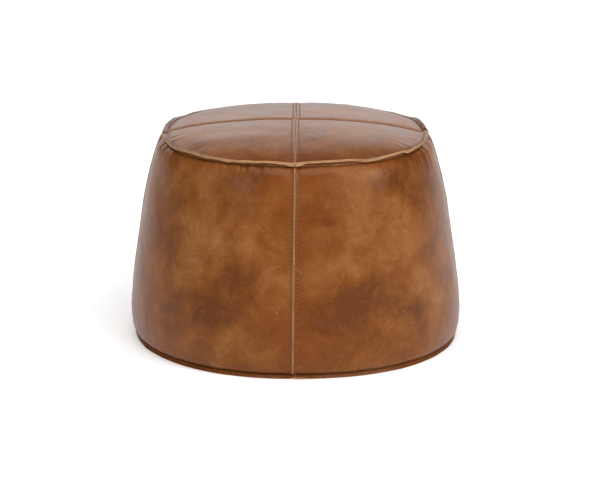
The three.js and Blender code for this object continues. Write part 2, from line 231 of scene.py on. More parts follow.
def seam_bulk(angle):
    """1 where the vertical seams' allowances are folded into the rim lip, and 0 elsewhere."""
    return 1 - step(nearest_seam(angle) * RIM_SEAM[0], 9.5, 14.5)


# Where the rim lip is folded over sharply: angle, and half the change in its slope, in degrees
RIM_KINKS = [(320.5, -13), (2, 16), (184, -14), (243, 5), (100, 9)]


def rim_point(angle, reach, offset):
    """A point on the rim lip.

    reach is 0 at its crease and 1 at its cut edge, and offset is how far the point lies above its middle.
    """
    outwards, upwards = rim_wander(angle)
    beside = step(np.sin(angle), -0.35, 0.3)
    slope = math.radians(30) + math.radians(20) * beside - math.radians(52) * rear_share(angle)
    slope = slope + math.radians(9) * round_noise(angle, 30, 15)
    slope = slope + math.radians(5) * round_noise(angle, 13, 16)
    for place, fold in RIM_KINKS:
        turn = turn_from(angle, math.radians(place)) * RIM_SEAM[0]
        slope = slope + math.radians(fold) * np.tanh(turn / 2.5) * bell(turn, 16)
    bend = slope + math.radians(14) * round_noise(angle, 40, 17) * reach
    width = RIM_LIP_WIDTH + 0.5 * round_noise(angle, 35, 18)
    radius = RIM_SEAM[0] + outwards + width * reach * np.cos(bend) - offset * np.sin(bend)
    height = RIM_SEAM[1] + upwards + width * reach * np.sin(bend) + offset * np.cos(bend)
    return radius, height


def rim_dip(angle, reach):
    """How far the lip's lower layer hangs from its upper one, over the seam allowances between them."""
    return ALLOWANCE * seam_bulk(angle) * step(reach, 0, 0.5)


def rim_lip(angle, reach, side, face):
    """A point on the rim lip, as rim_point.

    side is 1 for the top panels' layer and -1 for the side panels', and face is 0 on the leather's hidden
    face and 1 on the one that shows.
    """
    apart = GAP / 2 + 0.06 * (1 + round_noise(angle, 17, 19)) * reach
    if side == -1:
        apart = apart + rim_dip(angle, reach)
        reach = reach * 0.985
    return rim_point(angle, reach, side * (apart + (LEATHER - SKIVED * reach**3) * face))


def base_lip(angle, reach, layer, face):
    """A point on the base lip, as rim_lip.

    layer is 1 for the side panels' leather and -1 for the base panels'.
    """
    crease = BASE_CREASE_HEIGHT if layer == 1 else BASE_PANEL_HEIGHT
    wave = 0.9 * round_noise(angle, 45, 21) + 0.5 * round_noise(angle, 18, 22)
    lift = 0.2 * (1 + round_noise(angle, 60, 23)) * (1 - seam_bulk(angle))
    flare = bell(nearest_seam(angle - SEAM_FLARE_SHIFT) * BASE_LIP_FOOT_RADIUS, SEAM_FLARE_WIDTH)
    height = crease * (1 - reach) + lift * reach
    radius = base_lip_radius(height, layer * (GAP / 2 + LEATHER * face)) + wave * reach
    radius = radius - BASE_CREASE_DEPTH * (1 - reach) ** 2 - base_tuck(angle)
    if layer == 1:
        height = height + (0.4 + 3.0 * flare) * face * reach**3 + 0.4 * flare * reach**2
        radius = radius + (3.2 - 1.2 * face) * flare * reach**2
    return radius, height


def base_tuck(angle):
    """How far the foot of the pouf is pushed in, where the filling has settled away from it."""
    return 5.0 * bell(turn_from(angle, math.radians(222)), math.radians(30))


# ---- the leather's relief ----

SKIN_EDGE = 1.3  # from a seam to where the leather's grain face ends and its cut edge begins


def seam_relief(distance, pull_depth):
    """The lift of the leather beside a butted seam: its edge stands up, and it sinks under the stitching."""
    edge = 1.25 * bell(distance - SKIN_EDGE, 0.9)
    band = 0.55 * step(distance, 0.5, 2.5) * (1 - step(distance, 3.6, 4.9))
    groove = -0.6 * bell(distance - ROW_OFFSET, 1.1)
    pull = -pull_depth * np.exp(-distance / 13)
    return edge + band + groove + pull


# Where the side panels are gathered under the rim: angle and half width in degrees, depth and length in mm
GATHERS = [
    (249, 17, 1.0, 11),
    (281, 8, 0.6, 9),
    (331, 13, 0.9, 26),
    (204, 13, 0.5, 16),
    (22, 24, 0.7, 12),
    (78, 16, 0.8, 14),
    (118, 12, 0.6, 20),
    (160, 15, 0.8, 12),
]


def puckers(angle, down):
    """Short upright gathers under the rim, in some places and not in others."""
    ring = point_at(NOISE_RADIUS, angle, 0.05 * down)
    waves = 2.2 * smooth_noise(ring, 4.4, 32) + 0.8 * smooth_noise(ring, 8.5, 36)
    total = 0
    for middle, half_width, depth, length in GATHERS:
        place = bell(turn_from(angle, math.radians(middle)), math.radians(half_width))
        total = total + depth * place * np.exp(-((down / length) ** 1.5))
    total = total + 0.18 * np.exp(-down / 9)
    return total * waves * step(down, 0, 3.5)


def side_relief(angle, down, place):
    seam_distance = nearest_seam(angle) * side_section(down)[0]
    foot = SIDE_LENGTH - down
    dents = 1.5 * smooth_noise(place, 105, 41) + 0.55 * smooth_noise(place, 38, 42)
    dents = dents + 0.14 * smooth_noise(place, 14, 43)
    foot_gathers = 0.5 * round_noise(angle, 8, 44) * bell(foot, 16) * step(foot, 0, 4)
    calm = step(foot, 0, 12) * step(down, 0, 8)
    return dents * calm + puckers(angle, down) + foot_gathers + seam_relief(seam_distance, 1.0)


def side_place(angle, down, lift=0.0):
    """A point on the side panels' outer face, raised by lift."""
    radius, height, out_r, out_z = side_section(down)
    lean = FRONT_SEAM_LEAN * down / SIDE_LENGTH * bell(turn_from(angle, SEAM_ANGLES[3]), math.radians(30))
    warped = angle + lean / radius
    scale = plan_scale(angle, height)
    flat = point_at(radius * scale, warped, height)
    outwards, upwards = rim_wander(angle)
    near_rim = np.exp(-down / 14)
    foot = SIDE_LENGTH - down
    rise = side_relief(angle, down, flat) + lift
    radial = out_r * rise + outwards * near_rim
    radial = radial - BASE_CREASE_DEPTH * bell(foot, 5) - base_tuck(angle) * bell(foot, 60)
    vertical = out_z * rise + upwards * near_rim
    return flat + point_at(radial, warped, vertical) + simulated(SIDE_SHEET, angle, down)


def dome_relief(x, y, edge_share, place):
    across = 0.8 * seam_relief(np.abs(x), 0.3) + 0.45 * seam_relief(np.abs(y), 0.3)
    dents = 1.4 * smooth_noise(place, 95, 51) + 0.4 * smooth_noise(place, 34, 52)
    from_rim = (1 - edge_share) * DOME_EDGE[0]
    angle = np.arctan2(y, x)
    gathered = step(round_noise(angle, 40, 54), -0.2, 0.8)
    gathers = 0.7 * round_noise(angle, 7, 53) * gathered * bell(from_rim, 16)
    return (dents + gathers) * step(from_rim, 0, 6) + across * step(from_rim, -1, 2)


def dome_place(x, y, lift=0.0):
    """A point on the top panels' upper face, above the plain place x, y."""
    angle = np.arctan2(y, x)
    distance = np.hypot(x, y)
    edge = DOME_EDGE[0] * plan_scale(angle, DOME_EDGE[1])
    share = np.clip(distance / edge, 0, 1)
    plain = share * DOME_EDGE[0]
    height = dome_height(plain)
    fall = dome_height(np.abs(plain - 1)) - dome_height(plain + 1)
    tilt = np.arctan(fall / 2) * step(plain, 0, 2)
    jog = REAR_SEAM_JOG * step(y, -0.5, 0.5) * (1 - share**4)
    flat = np.stack([x + jog, y + 0 * x, height], axis=-1)
    outwards, upwards = rim_wander(angle)
    near_rim = np.exp(-(1 - share) * DOME_EDGE[0] / 14)
    rise = dome_relief(x, y, share, flat) + lift
    radial = np.sin(tilt) * rise + outwards * near_rim
    vertical = np.cos(tilt) * rise + upwards * near_rim
    return flat + point_at(radial, angle, vertical) + simulated(DOME_SHEET, angle, plain)


# ---- the cloth simulation of the cover ----

SHEET_COLUMNS = 420
SIDE_SHEET = {"reach": SIDE_LENGTH, "offsets": np.zeros((78, SHEET_COLUMNS, 3))}
DOME_SHEET = {"reach": DOME_EDGE[0], "offsets": np.zeros((40, SHEET_COLUMNS, 3))}
SIMULATION_FRAMES = 20
HELD_BY_SEAM = 6.0  # how far from a seam, and from a sheet's edge, the stitching holds the leather
HELD_BY_EDGE = 4.5
MOST_MOVED = 4.5
DOME_FIRMNESS = 0.4  # the share of the movement that the firm foam under the top lets its leather keep


def simulated(sheet, angle, down):
    """How far the simulation moved the leather, at an angle and a distance along the sheet."""
    offsets = sheet["offsets"]
    last = offsets.shape[0] - 1
    row = np.clip(down / sheet["reach"] * last, 0, last)
    column = (angle / (2 * math.pi) * SHEET_COLUMNS) % SHEET_COLUMNS
    row, column = np.broadcast_arrays(row, column)
    row_start, column_start = np.minimum(row.astype(int), last - 1), column.astype(int)
    row_weights, column_weights = smooth_weights(row - row_start), smooth_weights(column - column_start)
    total = 0
    for i, row_weight in enumerate(row_weights):
        for j, column_weight in enumerate(column_weights):
            taken = offsets[np.clip(row_start + i - 1, 0, last), (column_start + j - 1) % SHEET_COLUMNS]
            total = total + taken * (row_weight * column_weight)[..., None]
    return total


def smooth_weights(t):
    """The shares of four neighbours in a smooth curve, a part t of the way from the second to the third."""
    first = (1 - t) ** 3 / 6
    second = (3 * t**3 - 6 * t**2 + 4) / 6
    third = (-3 * t**3 + 3 * t**2 + 3 * t + 1) / 6
    return first, second, third, t**3 / 6


def sheet_shape(sheet):
    """A sheet's points before the simulation, how firmly each is held, and how much spare leather it has."""
    rows = sheet["offsets"].shape[0]
    down = np.linspace(0, sheet["reach"], rows)[:, None]
    angle = np.arange(SHEET_COLUMNS)[None, :] / SHEET_COLUMNS * 2 * math.pi
    if sheet is SIDE_SHEET:
        radius, height, _, _ = side_section(down)
        from_rim, from_edge = down, np.minimum(down, SIDE_LENGTH - down)
        seam_distance = nearest_seam(angle) * radius
    else:
        radius, height = down, dome_height(down)
        from_rim = from_edge = DOME_EDGE[0] - down
        seam_distance = np.minimum(np.abs(radius * np.cos(angle)), np.abs(radius * np.sin(angle)))
    points = ring_point(radius, height, angle)
    held = (seam_distance < HELD_BY_SEAM) | (from_edge + 0 * angle < HELD_BY_EDGE)
    spare = np.exp(-from_rim / 22) + 0.5 * np.exp(-seam_distance / 18)
    return points, held.astype(float), np.clip(spare, 0, 1)


def simulate_cover():
    """Blows the side and top sheets out against their stitched seams, and keeps how far each point went."""
    vertices, faces, held, spare = [], [], [], []
    for sheet in (SIDE_SHEET, DOME_SHEET):
        points, firm, loose = sheet_shape(sheet)
        start = sum(len(block) for block in vertices)
        rows = len(points)
        i, j = np.meshgrid(np.arange(rows - 1), np.arange(SHEET_COLUMNS), indexing="ij")
        after = (j + 1) % SHEET_COLUMNS
        quads = [(i + 1) * SHEET_COLUMNS + j, (i + 1) * SHEET_COLUMNS + after, i * SHEET_COLUMNS + after]
        quads = np.stack([*quads, i * SHEET_COLUMNS + j], axis=-1).reshape(-1, 4) + start
        faces.append(quads)
        vertices.append(points.reshape(-1, 3))
        held.append(firm.reshape(-1))
        spare.append(loose.reshape(-1))
    faces[1] = faces[1][SHEET_COLUMNS:]  # the dome's first row is one point
    sheet_object = new_object("cover_sheet", np.concatenate(vertices), np.concatenate(faces).tolist(), [])
    keep_outward(sheet_object)
    for name, values in (("held", np.concatenate(held)), ("spare", np.concatenate(spare))):
        group = sheet_object.vertex_groups.new(name=name)
        for weight in np.unique(np.round(values, 2)):
            group.add(np.flatnonzero(np.round(values, 2) == weight).tolist(), float(weight), "REPLACE")
    cloth = sheet_object.modifiers.new("cloth", "CLOTH")
    settings = cloth.settings
    settings.quality = 5
    settings.mass = 0.4
    settings.tension_stiffness = settings.compression_stiffness = 40
    settings.shear_stiffness = 20
    settings.bending_stiffness = 2.0
    settings.vertex_group_mass = "held"
    settings.vertex_group_shrink = "spare"
    settings.shrink_min = -0.004
    settings.shrink_max = -0.035
    settings.use_pressure = True
    settings.uniform_pressure_force = 4
    settings.effector_weights.gravity = 0
    cloth.collision_settings.use_collision = False
    cloth.point_cache.frame_start = 1
    cloth.point_cache.frame_end = SIMULATION_FRAMES
    scene = bpy.context.scene
    for moment in range(1, SIMULATION_FRAMES + 1):
        scene.frame_set(moment)
    result = sheet_object.evaluated_get(bpy.context.evaluated_depsgraph_get()).data
    moved = np.empty(len(result.vertices) * 3)
    result.vertices.foreach_get("co", moved)
    offsets = moved.reshape(-1, 3) / MM - np.concatenate(vertices)
    length = np.linalg.norm(offsets, axis=1, keepdims=True)
    offsets *= MOST_MOVED * np.tanh(length / MOST_MOVED) / np.maximum(length, 1e-6)
    start = 0
    for sheet in (SIDE_SHEET, DOME_SHEET):
        count = sheet["offsets"].shape[0] * SHEET_COLUMNS
        sheet["offsets"] = offsets[start : start + count].reshape(sheet["offsets"].shape)
        start += count
    DOME_SHEET["offsets"] *= DOME_FIRMNESS
    DOME_SHEET["offsets"][0] = 0
    bpy.data.objects.remove(sheet_object)
    scene.frame_set(1)


# ---- making meshes ----


def new_object(name, vertices, faces, materials, face_materials=None, smooth=True):
    """A mesh object from points in millimetres."""
    mesh = bpy.data.meshes.new(name)
    mesh.from_pydata((np.asarray(vertices) * MM).tolist(), [], faces)
    for material in materials:
        mesh.materials.append(material)
    if face_materials is not None:
        mesh.polygons.foreach_set("material_index", np.asarray(face_materials, dtype=np.int32))
    mesh.polygons.foreach_set("use_smooth", np.full(len(mesh.polygons), smooth))
    mesh.update()
    made = bpy.data.objects.new(name, mesh)
    bpy.context.scene.collection.objects.link(made)
    return made


def keep_outward(made):
    """Turns every face outwards."""
    shape = bmesh.new()
    shape.from_mesh(made.data)
    bmesh.ops.recalc_face_normals(shape, faces=shape.faces)
    shape.to_mesh(made.data)
    shape.free()


def grid_faces(rows, columns, start, flip):
    i, j = np.meshgrid(np.arange(rows - 1), np.arange(columns - 1), indexing="ij")
    a = start + i * columns + j
    quads = np.stack([a, a + columns, a + columns + 1, a + 1], axis=-1).reshape(-1, 4)
    return quads[:, ::-1] if flip else quads


def slab(name, outer, inner, materials):
    """A closed sheet of leather between two grids of points.

    Its outer face takes the first material, and its hidden face and four edges take the second.
    """
    rows, columns = outer.shape[:2]
    size = rows * columns
    index = np.arange(size).reshape(rows, columns)
    border = np.concatenate([index[0, :-1], index[:-1, -1], index[-1, :0:-1], index[:0:-1, 0]])
    following = np.roll(border, -1)
    edge = np.stack([border, following, following + size, border + size], axis=-1)
    faces = np.concatenate([grid_faces(rows, columns, 0, False), grid_faces(rows, columns, size, True), edge])
    outer_faces = (rows - 1) * (columns - 1)
    looks = np.concatenate([np.zeros(outer_faces), np.ones(len(faces) - outer_faces)])
    vertices = np.concatenate([outer.reshape(-1, 3), inner.reshape(-1, 3)])
    made = new_object(name, vertices, faces.tolist(), materials, looks)
    keep_outward(made)
    mark_sharp_rim(made, border, size)
    store(made, "depth", np.repeat([0.0, 1.0], size))
    return made


def store(made, name, values):
    """Stores a number for each point, for the material to read."""
    layer = made.data.attributes.new(name, "FLOAT", "POINT")
    layer.data.foreach_set("value", np.asarray(values, dtype=np.float32))


def mark_sharp_rim(made, border, size):
    """Keeps the cut edges crisp: where they meet the leather's two faces the shading breaks."""
    rim = set(border.tolist()) | set((border + size).tolist())
    mesh = made.data
    ends = np.empty(len(mesh.edges) * 2, dtype=np.int64)
    mesh.edges.foreach_get("vertices", ends)
    ends = ends.reshape(-1, 2)
    inside = np.isin(ends, list(rim)).all(axis=1)
    same_layer = (ends[:, 0] < size) == (ends[:, 1] < size)
    mesh.edges.foreach_set("use_edge_sharp", inside & same_layer)


TUBE_TIP = 0.55  # how thick a tube's two ends are, as a share of the rest


def tubes(name, lines, radius, material, sides=6):
    """One mesh of many closed tubes. Lines has the shape tubes, points, 3."""
    count, points = lines.shape[:2]
    along = np.gradient(lines, axis=1)
    along /= np.linalg.norm(along, axis=-1, keepdims=True)
    across = np.cross(along, np.array([0.31, 0.22, 0.93]))
    across /= np.linalg.norm(across, axis=-1, keepdims=True)
    up = np.cross(across, along)
    turn = np.arange(sides) / sides * 2 * math.pi
    thickness = radius * np.ones(points)
    thickness[[0, -1]] *= TUBE_TIP
    spokes = across[:, :, None] * np.cos(turn)[:, None] + up[:, :, None] * np.sin(turn)[:, None]
    rings = lines[:, :, None] + spokes * thickness[:, None, None]
    faces = []
    for tube in range(count):
        start = tube * points * sides
        for ring in range(points - 1):
            low = start + ring * sides
            for side in range(sides):
                after = (side + 1) % sides
                faces.append((low + side, low + after, low + sides + after, low + sides + side))
        faces.append(tuple(start + side for side in reversed(range(sides))))
        end = start + (points - 1) * sides
        faces.append(tuple(end + side for side in range(sides)))
    made = new_object(name, rings.reshape(-1, 3), faces, [material])
    ends = np.abs(np.linspace(-1, 1, points))
    store(made, "end", np.tile(np.repeat(ends, sides), count))
    return made


# ---- material helpers ----


class Nodes:
    """A small builder for the node tree of a new material, or of a new world."""

    def __init__(self, name, owners=bpy.data.materials, coordinates="Object"):
        self.owner = owners.new(name)
        self.owner.use_nodes = True
        self.tree = self.owner.node_tree
        self.coords = self.tree.nodes.new("ShaderNodeTexCoord").outputs[coordinates]

    def link(self, source, target):
        self.tree.links.new(source, target)

    def node(self, kind, inputs=None, **settings):
        """A new node. Each input is given by its name or number, as a value or another node's output."""
        made = self.tree.nodes.new(kind)
        for key, value in settings.items():
            setattr(made, key, value)
        for key, value in (inputs or {}).items():
            self.fill(made.inputs[key], value)
        return made

    def fill(self, socket, value):
        if hasattr(value, "is_output"):
            self.link(value, socket)
        else:
            socket.default_value = value

    def mapping(self, location=(0, 0, 0), rotation=(0, 0, 0), scale=(1, 1, 1)):
        inputs = {"Vector": self.coords, "Location": location, "Rotation": rotation, "Scale": scale}
        return self.node("ShaderNodeMapping", inputs).outputs["Vector"]

    def noise(self, vector, scale, detail=3, roughness=0.5, distortion=0):
        inputs = {"Vector": vector, "Scale": scale, "Detail": detail}
        inputs.update({"Roughness": roughness, "Distortion": distortion})
        return self.node("ShaderNodeTexNoise", inputs).outputs["Fac"]

    def voronoi(self, vector, scale, feature="F1"):
        inputs = {"Vector": vector, "Scale": scale}
        return self.node("ShaderNodeTexVoronoi", inputs, feature=feature).outputs["Distance"]

    def vector_math(self, operation, a, b=None):
        inputs = {0: a} if b is None else {0: a, 1: b}
        made = self.node("ShaderNodeVectorMath", inputs, operation=operation)
        return made.outputs["Value" if operation in ("DOT_PRODUCT", "LENGTH") else "Vector"]

    def scratches(self, shift, scale, width):
        """Short straight scratches, each in a direction of its own: slices through a few cells of space."""
        place = self.mapping(location=shift)
        wobble = self.node("ShaderNodeTexNoise", {"Vector": place, "Scale": scale * 0.7})
        swing = self.vector_math("SUBTRACT", wobble.outputs["Color"], (0.5, 0.5, 0.5))
        sway = self.vector_math("SCALE", swing)
        sway.node.inputs["Scale"].default_value = 0.25 / scale
        place = self.vector_math("ADD", place, sway)
        cells = self.node("ShaderNodeTexVoronoi", {"Vector": place, "Scale": scale})
        direction = self.vector_math("SUBTRACT", cells.outputs["Color"], (0.5, 0.5, 0.5))
        direction = self.vector_math("NORMALIZE", direction)
        offset = self.vector_math("SUBTRACT", place, cells.outputs["Position"])
        across = self.math("ABSOLUTE", self.vector_math("DOT_PRODUCT", offset, direction))
        line = self.span(across, 0, width / scale, 1, 0)
        inside = self.span(self.vector_math("LENGTH", offset), 0.22 / scale, 0.42 / scale, 1, 0)
        chosen = self.span(self.noise(place, scale * 0.9, 0), 0.42, 0.50)
        return self.times(self.times(line, inside), chosen)

    def math(self, operation, a, b=0.0):
        return self.node("ShaderNodeMath", {0: a, 1: b}, operation=operation).outputs[0]

    def add(self, a, b):
        return self.math("ADD", a, b)

    def times(self, a, b):
        return self.math("MULTIPLY", a, b)

    def around_zero(self, value, size):
        """A noise of 0 to 1 as one of size, half of it below zero."""
        return self.times(self.math("SUBTRACT", value, 0.5), size)

    def span(self, value, low, high, to_low=0.0, to_high=1.0, smooth=True):
        inputs = {"Value": value, "From Min": low, "From Max": high, "To Min": to_low, "To Max": to_high}
        kind = "SMOOTHSTEP" if smooth else "LINEAR"
        return self.node("ShaderNodeMapRange", inputs, interpolation_type=kind).outputs["Result"]

    def mix(self, share, a, b):
        a, b = (colour if hasattr(colour, "is_output") else (*colour, 1) for colour in (a, b))
        made = self.node("ShaderNodeMix", data_type="RGBA")
        for socket, value in (("Factor", share), (6, a), (7, b)):
            self.fill(made.inputs[socket], value)
        return made.outputs[2]

    def ramp(self, value, stops):
        made = self.node("ShaderNodeValToRGB", {"Fac": value})
        elements = made.color_ramp.elements
        while len(elements) < len(stops):
            elements.new(0.5)
        for element, (position, colour) in zip(elements, stops):
            element.position = position
            element.color = (*colour, 1)
        return made.outputs["Color"]

    def attribute(self, name):
        return self.node("ShaderNodeAttribute", attribute_name=name).outputs["Fac"]

    def bump(self, height, strength, distance, normal=None):
        inputs = {"Height": height, "Strength": strength, "Distance": distance}
        made = self.node("ShaderNodeBump", inputs)
        if normal is not None:
            self.link(normal, made.inputs["Normal"])
        return made.outputs["Normal"]

    def finish(self, colour, roughness, normal=None, **fixed):
        inputs = self.tree.nodes["Principled BSDF"].inputs
        self.fill(inputs["Base Color"], colour)
        self.fill(inputs["Roughness"], roughness)
        if normal is not None:
            self.link(normal, inputs["Normal"])
        for name, value in fixed.items():
            inputs[name.replace("_", " ")].default_value = value
        return self.owner


# ---- materials ----

DARK_LEATHER = (0.102, 0.028, 0.005)
MID_LEATHER = (0.188, 0.058, 0.009)
TAN_LEATHER = (0.272, 0.108, 0.028)
RED_LEATHER = (0.160, 0.037, 0.005)
# The dark brown of the painted shade in creases, stitch grooves and stitch holes.
PAINTED_SHADE_BROWN = (0.035, 0.010, 0.003)
SCUFF = (0.46, 0.26, 0.12)


def leather(name, shift):
    """Distressed pull-up leather. Shift moves its marks, so that no two panels are cut from the same hide."""
    n = Nodes(name)
    place = n.mapping(location=shift)
    clouds = n.noise(place, 7, 2, 0.5, 0.6)
    patches = n.noise(place, 21, 6, 0.60, 0.5)
    flecks = n.noise(place, 130, 5, 0.7)
    stretched = n.mapping(location=shift, rotation=(0.4, 0.5, 0.9), scale=(1, 0.12, 1))
    streaks = n.noise(stretched, 260, 4, 0.65, 0.3)
    tone = n.add(n.times(clouds, 0.35), n.times(patches, 0.48))
    tone = n.add(tone, 0.072)
    tone = n.add(tone, n.times(n.attribute("weather"), 0.085))
    tone = n.add(tone, n.around_zero(flecks, 0.16))
    tone = n.add(tone, n.around_zero(streaks, 0.10))
    colour = n.ramp(tone, [(0.38, DARK_LEATHER), (0.5, MID_LEATHER), (0.63, TAN_LEATHER)])
    redness = n.times(n.attribute("seam_tone"), n.span(n.noise(place, 13, 3), 0.3, 0.6, 0.35, 1))
    colour = n.mix(n.times(redness, 0.8), colour, RED_LEATHER)
    marks = n.math("MAXIMUM", n.scratches(shift, 34, 0.011), n.scratches(shift, 75, 0.018))
    clustered = n.add(n.noise(place, 11, 3, 0.6), n.times(n.attribute("weather"), 0.18))
    marks = n.times(marks, n.span(clustered, 0.42, 0.62, 0.1, 1))
    rubbed = n.times(n.span(n.noise(place, 60, 7, 0.8), 0.54, 0.80), 0.4)
    worn = n.math("MAXIMUM", marks, rubbed)
    colour = n.mix(n.times(worn, 0.55), colour, SCUFF)
    grain = n.voronoi(place, 620, "SMOOTH_F1")
    colour = n.mix(n.times(n.span(grain, 0.15, 0.6), 0.15), colour, DARK_LEATHER)
    # Painted shade: the shade attribute darkens the leather in its creases, in the grooves under its
    # stitching and on its lips.
    colour = n.mix(n.times(n.attribute("shade"), 0.85), colour, PAINTED_SHADE_BROWN)
    normal = n.bump(n.noise(place, 40, 3, 0.5, 0.3), 0.22, 0.0016)
    normal = n.bump(n.noise(place, 150, 4, 0.6, 0.4), 0.16, 0.0012, normal)
    normal = n.bump(grain, 0.14, 0.0003, normal)
    normal = n.bump(n.noise(place, 900, 2), 0.08, 0.0002, normal)
    rough = n.span(patches, 0.35, 0.7, 0.30, 0.38, False)
    rough = n.add(rough, n.times(worn, 0.03))
    rough = n.add(rough, n.around_zero(flecks, 0.04))
    return n.finish(colour, rough, normal, Specular_IOR_Level=0.24, Specular_Tint=(1.0, 0.77, 0.62, 1.0))


def cut_edge():
    """The raw edge of the hide: pale and fibrous, darker along its grain side, partly from dye soaked in and
    partly as painted shade of the seam's narrow gap.
    """
    n = Nodes("cut_edge_leather")
    fibres = n.noise(n.mapping(), 700, 4, 0.7)
    stains = n.noise(n.mapping(), 60, 4, 0.6)
    tones = [(0.3, (0.27, 0.135, 0.050)), (0.55, (0.41, 0.220, 0.088)), (0.75, (0.52, 0.30, 0.130))]
    colour = n.ramp(stains, tones)
    colour = n.mix(n.span(fibres, 0.35, 0.7, 0, 0.35), colour, (0.24, 0.105, 0.04))
    # Darker towards the grain side: dye soaked into the edge, and also painted shade standing in for the
    # seam's narrow gap.
    dye_and_painted_shade = n.span(n.attribute("depth"), 0.05, 0.32, 0.8, 0)
    colour = n.mix(dye_and_painted_shade, colour, RED_LEATHER)
    return n.finish(colour, 0.78, n.bump(fibres, 0.5, 0.0004), Sheen_Weight=0.1)


def thread():
    """Waxed thread, with painted shade where it goes down into its holes."""
    n = Nodes("waxed_thread")
    twist = n.noise(n.mapping(), 900, 3, 0.6)
    colour = n.ramp(twist, [(0.35, (0.22, 0.085, 0.032)), (0.65, (0.38, 0.170, 0.072))])
    # Painted shade: darker towards each stitch's ends, where the thread goes down into its holes.
    colour = n.mix(n.span(n.attribute("end"), 0.45, 0.75), colour, PAINTED_SHADE_BROWN)
    return n.finish(colour, 0.6, n.bump(twist, 0.5, 0.0003), Specular_IOR_Level=0.25)


def woven(name, dark, light):
    n = Nodes(name)
    inputs = {"Vector": n.coords, "Scale": 420, "Distortion": 0.4}
    weft = n.node("ShaderNodeTexWave", inputs, wave_type="BANDS", bands_direction="Y")
    warp = n.node("ShaderNodeTexWave", inputs, wave_type="BANDS", bands_direction="X")
    weave = n.times(weft.outputs["Fac"], warp.outputs["Fac"])
    fluff = n.noise(n.mapping(), 500, 4, 0.7)
    colour = n.mix(n.times(weave, fluff), dark, light)
    return n.finish(colour, 0.88, n.bump(weave, 0.6, 0.0003), Sheen_Weight=0.3)


def coil_plastic():
    n = Nodes("zip_coil_plastic")
    dull = n.noise(n.mapping(), 260, 4, 0.6)
    colour = n.ramp(dull, [(0.3, (0.035, 0.018, 0.010)), (0.7, (0.080, 0.044, 0.026))])
    return n.finish(colour, n.span(dull, 0.3, 0.7, 0.3, 0.5), n.bump(dull, 0.2, 0.0002))


def aged_brass():
    n = Nodes("aged_brass")
    tarnish = n.noise(n.mapping(), 180, 5, 0.65)
    scratches = n.noise(n.mapping(scale=(1, 14, 14)), 140, 3, 0.6)
    colour = n.ramp(tarnish, [(0.3, (0.20, 0.12, 0.045)), (0.65, (0.46, 0.32, 0.13))])
    rough = n.add(n.span(tarnish, 0.3, 0.7, 0.42, 0.26), n.span(scratches, 0.4, 0.7, 0, 0.15))
    return n.finish(colour, rough, n.bump(scratches, 0.15, 0.0001), Metallic=1.0)


def suede(name):
    """The undyed backing strips behind the seams."""
    n = Nodes(name)
    nap = n.noise(n.mapping(), 420, 5, 0.7)
    colour = n.ramp(nap, [(0.3, (0.36, 0.20, 0.095)), (0.7, (0.55, 0.35, 0.18))])
    return n.finish(colour, 0.85, n.bump(nap, 0.4, 0.0005), Sheen_Weight=0.25)


def foam():
    n = Nodes("filling_foam")
    cells = n.voronoi(n.mapping(), 700, "F1")
    stain = n.noise(n.mapping(), 14, 3)
    colour = n.mix(n.span(stain, 0.4, 0.7), (0.70, 0.62, 0.40), (0.78, 0.72, 0.52))
    colour = n.mix(n.span(cells, 0.3, 0.9, 0, 0.4), colour, (0.45, 0.38, 0.22))
    return n.finish(colour, 0.95, n.bump(cells, 0.6, 0.0008))


def wadding():
    n = Nodes("fibre_wadding")
    fluff = n.noise(n.mapping(scale=(1, 1, 0.4)), 160, 6, 0.75, 1.2)
    colour = n.ramp(fluff, [(0.3, (0.62, 0.61, 0.58)), (0.7, (0.88, 0.88, 0.86))])
    return n.finish(colour, 1.0, n.bump(fluff, 0.8, 0.003), Sheen_Weight=0.4)


def studio_floor():
    n = Nodes("studio_floor")
    tone = n.noise(n.mapping(), 3, 3)
    colour = n.mix(tone, (0.90, 0.90, 0.895), (0.93, 0.93, 0.925))
    normal = n.bump(n.noise(n.mapping(), 300, 2), 0.02, 0.0005)
    return n.finish(colour, 0.7, normal, Emission_Color=(1, 1, 1, 1), Emission_Strength=0.2)


CUT_EDGE = cut_edge()
THREAD_LOOK = thread()

# ---- the cover's panels ----

QUARTERS = ["rear_right", "rear_left", "front_left", "front_right"]
EDGE_STEPS = np.array([0, 0.35, 0.8, 1.4, 2.1, 2.9, 3.5, 4.05, 4.6, 5.3, 6.2, 7.6, 9.8])
INNER_EDGE = GAP / 2
SIDE_MIDDLE_COLUMNS = 160
HIDE_SHIFTS = [(3.1, 0.4, 1.7), (1.3, 2.6, 0.2), (0.7, 5.2, 3.3), (4.4, 1.9, 2.5)]
LIP_REACHES = np.array([1.0, 0.93, 0.78, 0.55, 0.3, 0.1])


def graded(length, near_start, near_end, step_size):
    """Places from 0 to length: the given steps by each end, and even ones between."""
    first, last = near_start[-1], length - near_end[-1]
    count = max(2, round((last - first) / step_size))
    middle = np.linspace(first, last, count + 1)[1:-1]
    return np.concatenate([near_start, middle, length - near_end[::-1]])


def across_panel(width, edge):
    """Distances across a panel from its first seam, for each row's width."""
    start = edge + EDGE_STEPS
    share = np.linspace(0, 1, SIDE_MIDDLE_COLUMNS)[1:-1]
    middle = start[-1] + (width[:, None] - 2 * start[-1]) * share
    first = np.broadcast_to(start, (len(width), len(start)))
    return np.concatenate([first, middle, width[:, None] - first[:, ::-1]], axis=1)


def store_on_both(made, name, values):
    """Stores a number for each point of a grid, on both faces of its slab."""
    store(made, name, np.concatenate([values.reshape(-1), values.reshape(-1)]))


RIM_STEPS = np.array([0, 0.5, 1.2, 2.1, 3.2, 4.6, 6.3])
FOOT_STEPS = np.array([0, 0.5, 1.3, 2.4, 3.8, 5.6])
SIDE_ROWS = graded(SIDE_LENGTH, RIM_STEPS, FOOT_STEPS, 3.1)


